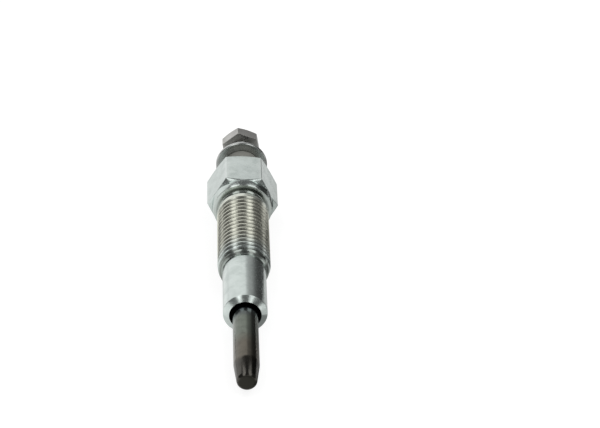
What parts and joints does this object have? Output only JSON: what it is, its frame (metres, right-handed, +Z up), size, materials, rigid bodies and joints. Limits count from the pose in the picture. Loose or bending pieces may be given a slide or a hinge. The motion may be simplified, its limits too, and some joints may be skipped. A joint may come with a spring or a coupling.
{
  "type": "diesel glow plug",
  "caption": "Sheathed metal heater pressed into a threaded hexagon housing with a conical seat and an insulated threaded terminal stud, washer and nut.",
  "frame": {"origin": "on the surface that the plug lies on, under the middle of its length", "axes": "+Z up; +Y along the plug as it lies, from the heater tip towards the terminal; +X to the right seen from the tip"},
  "size_m": [0.0138, 0.085, 0.0124],
  "materials": {
    "plated_steel": "bright zinc plate, satin",
    "heater_alloy": "dark heat-tinted nickel alloy, satin",
    "packed_powder": "packed white oxide powder, matte",
    "resistance_wire": "drawn resistance wire, oxidised",
    "rod_steel": "zinc plate, satin",
    "seal_rubber": "matte",
    "bush_resin": "moulded grey-beige resin, matte",
    "nut_steel": "zinc plate, satin"
  },
  "bodies": {
    "root": {"housing": "plated_steel", "heater_sheath": "heater_alloy", "insulating_powder": "packed_powder", "heating_coil": "resistance_wire", "control_coil": "resistance_wire", "centre_rod": "rod_steel", "sheath_seal": "seal_rubber", "o_ring": "seal_rubber", "insulating_bush": "bush_resin", "terminal_washer": "plated_steel", "terminal_nut": "nut_steel"}
  },
  "joints": []
}
